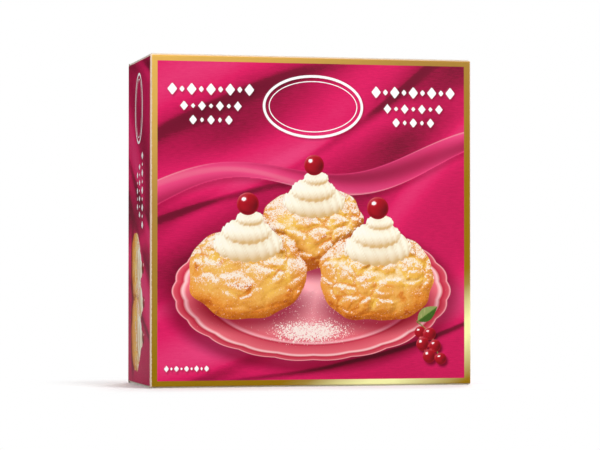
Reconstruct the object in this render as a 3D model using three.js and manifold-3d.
// A shut folding carton for frozen cream puffs, standing on its lower end.
//
// The carton is one piece of cartonboard, folded to an upright tube and glued shut at both ends, so it is one
// solid. Millimetres, +Z up, front panel facing -Y, origin at the middle of the base.
//
// What shows of the folded board is relief of one board thickness or two:
//   - the two side panels fold in first, as the dust flaps, and so are the shortest;
//   - the front panel folds over them, as the inner flap;
//   - the back panel folds over all, as the outer flap, whose free edge stops short of the front;
//   - the back panel's free upright edge laps over the glue tab of the right side panel.

import * as THREE from "three";
import { mergeVertices } from "three/addons/utils/BufferGeometryUtils.js";
import Module from "manifold-3d";

// Driving dimensions.
const WIDTH = 190; // front panel, along X
const DEPTH = 75; // side panel, along Y
const HEIGHT = 190; // along Z
const BOARD = 0.5; // thickness of the cartonboard
const FOLD_RADIUS = 1; // outside of every fold
const FOLD_STEPS = 6; // facets of a fold

// How far each cut edge stops short of the corner that it comes to.
const INNER_FLAP_INSET = 0.7; // inner flap's ends, from the side panels
const OUTER_FLAP_INSET = 1; // outer flap's ends, from the side panels
const OUTER_FLAP_SETBACK = 0.9; // outer flap's free edge, from the front panel
const SEAM_SETBACK = 1.2; // back panel's free edge, from the right side panel

const wasm = await Module();
wasm.setup();

/** A closed three.js geometry as a manifold-3d solid. */
function solidOf(geometry) {
  geometry.deleteAttribute("normal");
  geometry.deleteAttribute("uv");
  const merged = mergeVertices(geometry, 1e-4);
  return new wasm.Manifold(
    new wasm.Mesh({
      numProp: 3,
      vertProperties: merged.attributes.position.array,
      triVerts: new Uint32Array(merged.index.array),
    }),
  );
}

/** A manifold-3d solid as a three.js geometry with flat faces. */
function geometryOf(solid) {
  const { vertProperties, triVerts } = solid.getMesh();
  const indexed = new THREE.BufferGeometry()
    .setAttribute("position", new THREE.BufferAttribute(vertProperties, 3))
    .setIndex(new THREE.BufferAttribute(triVerts, 1));
  const geometry = indexed.toNonIndexed();
  geometry.computeVertexNormals();
  return geometry;
}

/**
 * The outline of a rectangle from (u0, v0) to (u1, v1), anticlockwise from (u0, v0). Each corner has its own
 * radius, in that order, and 0 leaves it sharp, as a cut edge is.
 */
function outline(u0, v0, u1, v1, radii) {
  const corners = [
    [u0, v0, 1, 1],
    [u1, v0, -1, 1],
    [u1, v1, -1, -1],
    [u0, v1, 1, -1],
  ];
  const shape = new THREE.Shape();
  corners.forEach(([u, v, inU, inV], i) => {
    const r = radii[i];
    const from = Math.PI + (i * Math.PI) / 2;
    const centre = new THREE.Vector2(u + inU * r, v + inV * r);
    const start = new THREE.Vector2(Math.cos(from), Math.sin(from))
      .multiplyScalar(r)
      .add(centre);
    if (i === 0) shape.moveTo(start.x, start.y);
    else shape.lineTo(start.x, start.y);
    if (r > 0) {
      shape.absarc(centre.x, centre.y, r, from, from + Math.PI / 2, false);
    }
  });
  shape.closePath();
  return shape;
}

/** An outline drawn in (X, Y), carried from z0 to z1. */
function uprightSolid(shape, z0, z1) {
  const geometry = new THREE.ExtrudeGeometry(shape, {
    depth: z1 - z0,
    bevelEnabled: false,
    curveSegments: FOLD_STEPS,
  });
  return solidOf(geometry.translate(0, 0, z0));
}

/** An outline drawn in (Y, Z), carried from x0 to x1. */
function crosswiseSolid(shape, x0, x1) {
  const geometry = new THREE.ExtrudeGeometry(shape, {
    depth: x1 - x0,
    bevelEnabled: false,
    curveSegments: FOLD_STEPS,
  });
  // The outline's own axes and its depth go to Y, Z and X.
  geometry.applyMatrix4(
    new THREE.Matrix4().makeBasis(
      new THREE.Vector3(0, 1, 0),
      new THREE.Vector3(0, 0, 1),
      new THREE.Vector3(1, 0, 0),
    ),
  );
  return solidOf(geometry.translate(x0, 0, 0));
}

/** An outline drawn in (X, Z), carried through the whole depth. */
function endwiseSolid(shape) {
  const geometry = new THREE.ExtrudeGeometry(shape, {
    depth: DEPTH,
    bevelEnabled: false,
    curveSegments: FOLD_STEPS,
  });
  // X stays, the outline's second axis goes to Z, and its depth to -Y.
  geometry.applyMatrix4(
    new THREE.Matrix4().makeBasis(
      new THREE.Vector3(1, 0, 0),
      new THREE.Vector3(0, 0, 1),
      new THREE.Vector3(0, -1, 0),
    ),
  );
  return solidOf(geometry.translate(0, DEPTH / 2, 0));
}

/** The four panels up to the folds of the dust flaps, without the back panel's own board. */
function tube() {
  const left = -WIDTH / 2;
  const right = WIDTH / 2;
  const front = -DEPTH / 2;
  const back = DEPTH / 2 - BOARD;
  const dustFlapLevel = 2 * BOARD;
  const panels = uprightSolid(
    outline(left, front, right, back, [
      FOLD_RADIUS,
      FOLD_RADIUS,
      FOLD_RADIUS,
      FOLD_RADIUS,
    ]),
    0,
    HEIGHT,
  );
  const dustFlapFolds = endwiseSolid(
    outline(
      left,
      dustFlapLevel,
      right,
      HEIGHT - dustFlapLevel,
      Array(4).fill(FOLD_RADIUS),
    ),
  );
  return panels.intersect(dustFlapFolds);
}

/** The back panel's board, folded round the left corner and ending in the seam near the right one. */
function backPanel() {
  const left = -WIDTH / 2;
  const seam = WIDTH / 2 - SEAM_SETBACK;
  const inside = DEPTH / 2 - 3 * FOLD_RADIUS;
  const board = uprightSolid(
    outline(left, inside, seam, DEPTH / 2, [0, 0, 0, FOLD_RADIUS]),
    2 * BOARD + FOLD_RADIUS,
    HEIGHT - 2 * BOARD - FOLD_RADIUS,
  );
  const ends = crosswiseSolid(
    outline(inside, 0, DEPTH / 2, HEIGHT, [0, FOLD_RADIUS, FOLD_RADIUS, 0]),
    left + OUTER_FLAP_INSET,
    seam,
  );
  return board.add(ends);
}

/** The inner flaps of both ends, with the front panel that they fold from. */
function innerFlaps() {
  return crosswiseSolid(
    outline(-DEPTH / 2, BOARD, DEPTH / 2 - 2 * BOARD, HEIGHT - BOARD, [
      FOLD_RADIUS,
      0,
      0,
      FOLD_RADIUS,
    ]),
    -WIDTH / 2 + INNER_FLAP_INSET,
    WIDTH / 2 - INNER_FLAP_INSET,
  );
}

/** The outer flaps of both ends, with their free edge behind the front panel. */
function outerFlaps() {
  return crosswiseSolid(
    outline(-DEPTH / 2 + OUTER_FLAP_SETBACK, 0, DEPTH / 2, HEIGHT, [
      0,
      FOLD_RADIUS,
      FOLD_RADIUS,
      0,
    ]),
    -WIDTH / 2 + OUTER_FLAP_INSET,
    WIDTH / 2 - SEAM_SETBACK,
  );
}

const carton = new THREE.Mesh(
  geometryOf(tube().add(backPanel()).add(innerFlaps()).add(outerFlaps())),
  new THREE.MeshStandardMaterial({
    color: 0xc8205a,
    roughness: 0.45,
    metalness: 0,
  }),
);
carton.name = "carton";

const part = new THREE.Group();
part.add(carton);

export default part;
